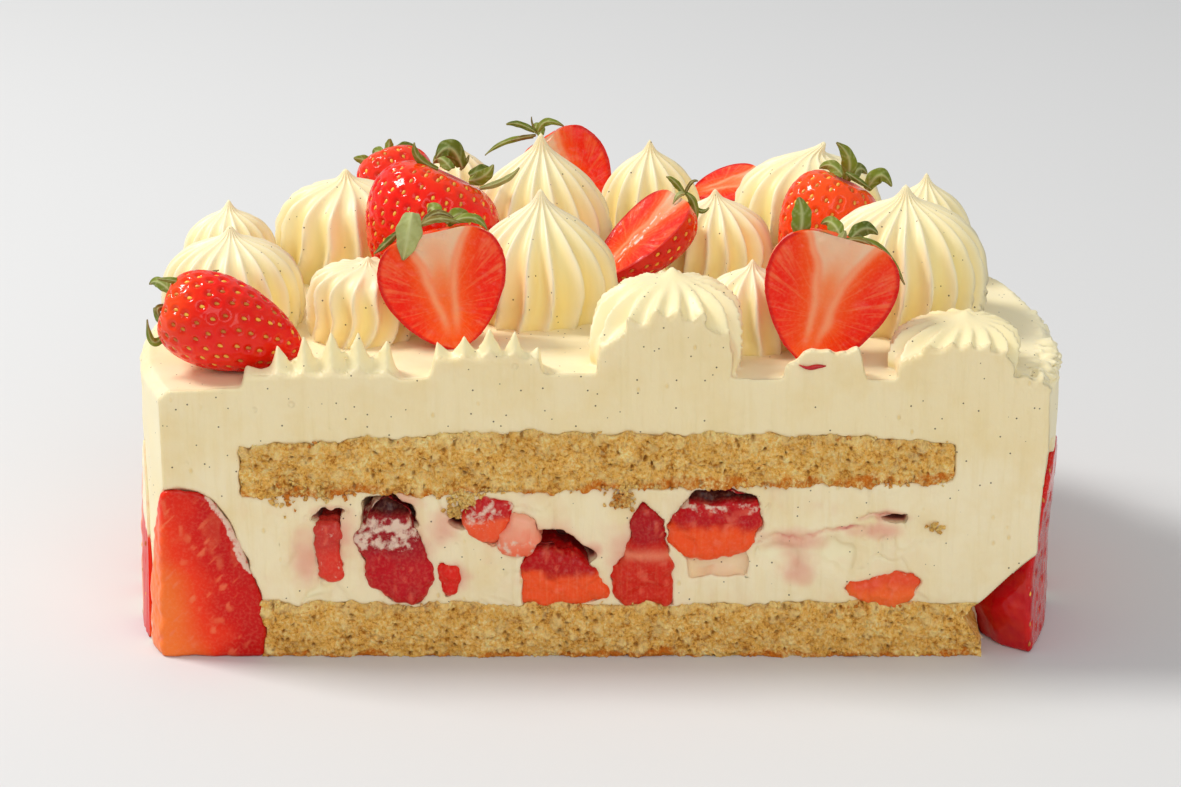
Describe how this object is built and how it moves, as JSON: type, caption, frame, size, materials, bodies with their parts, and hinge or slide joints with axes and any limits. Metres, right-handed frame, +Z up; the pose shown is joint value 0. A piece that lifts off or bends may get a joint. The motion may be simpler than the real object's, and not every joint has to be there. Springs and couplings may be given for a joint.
{
  "type": "fraisier",
  "caption": "Round strawberry and cream layer cake, cut straight across, with piped kisses and fresh strawberries on top and halved strawberries round its wall.",
  "frame": {"origin": "middle of the footprint, on the plane the cake stands on", "axes": "+Z up; the straight cut face looks along -Y; +X along the cut, to the right as seen from the front"},
  "size_m": [0.2037, 0.143, 0.0967],
  "materials": {
    "cream": "soft vanilla cream, slightly glossy, with fine specks of vanilla",
    "sponge": "open golden crumb, dry and matt",
    "berry_skin": "glossy red skin with sunken yellow seeds",
    "berry_flesh": "wet cut flesh, orange red with a pale middle",
    "leaf": "green cap leaves"
  },
  "bodies": {
    "root": {"berry_far_left": "berry_skin", "berry_left": "berry_skin", "berry_middle_left": "berry_skin", "berry_right": "berry_skin", "cap_of_berry_far_left": "leaf", "cap_of_berry_left": "leaf", "cap_of_berry_middle_left": "leaf", "cap_of_berry_right": "leaf", "cap_of_half_berry_far": "leaf", "cap_of_half_berry_left": "leaf", "cap_of_half_berry_middle": "leaf", "cap_of_half_berry_right": "leaf", "cream": "cream", "cut_kiss_middle": "cream", "cut_kiss_right": "cream", "fruit_column": "berry_flesh", "fruit_crimson": "berry_flesh", "fruit_low": "berry_flesh", "fruit_pale": "berry_flesh", "fruit_right": "berry_flesh", "fruit_slices": "berry_flesh", "fruit_small": "berry_flesh", "fruit_strip": "berry_flesh", "fruit_wedge": "berry_flesh", "half_berry_back": "berry_flesh", "half_berry_far": "berry_flesh", "half_berry_left": "berry_flesh", "half_berry_middle": "berry_flesh", "half_berry_right": "berry_flesh", "kiss_far_left": "cream", "kiss_far_right": "cream", "kiss_left_back": "cream", "kiss_left_front": "cream", "kiss_left_tall": "cream", "kiss_middle": "cream", "kiss_middle_back": "cream", "kiss_right_back": "cream", "kiss_right_far": "cream", "kiss_right_middle": "cream", "kiss_right_tall": "cream", "kiss_small_left": "cream", "kiss_small_right": "cream", "sponge_bottom": "sponge", "sponge_top": "sponge", "stump_left": "cream", "stump_middle": "cream", "stump_right": "cream", "wall_berry_01": "berry_flesh", "wall_berry_02": "berry_flesh", "wall_berry_03": "berry_flesh", "wall_berry_04": "berry_flesh", "wall_berry_05": "berry_flesh", "wall_berry_06": "berry_flesh", "wall_berry_07": "berry_flesh", "wall_berry_08": "berry_flesh", "wall_berry_09": "berry_flesh", "wall_berry_10": "berry_flesh", "wall_berry_11": "berry_flesh", "wall_berry_12": "berry_flesh"}
  },
  "joints": []
}
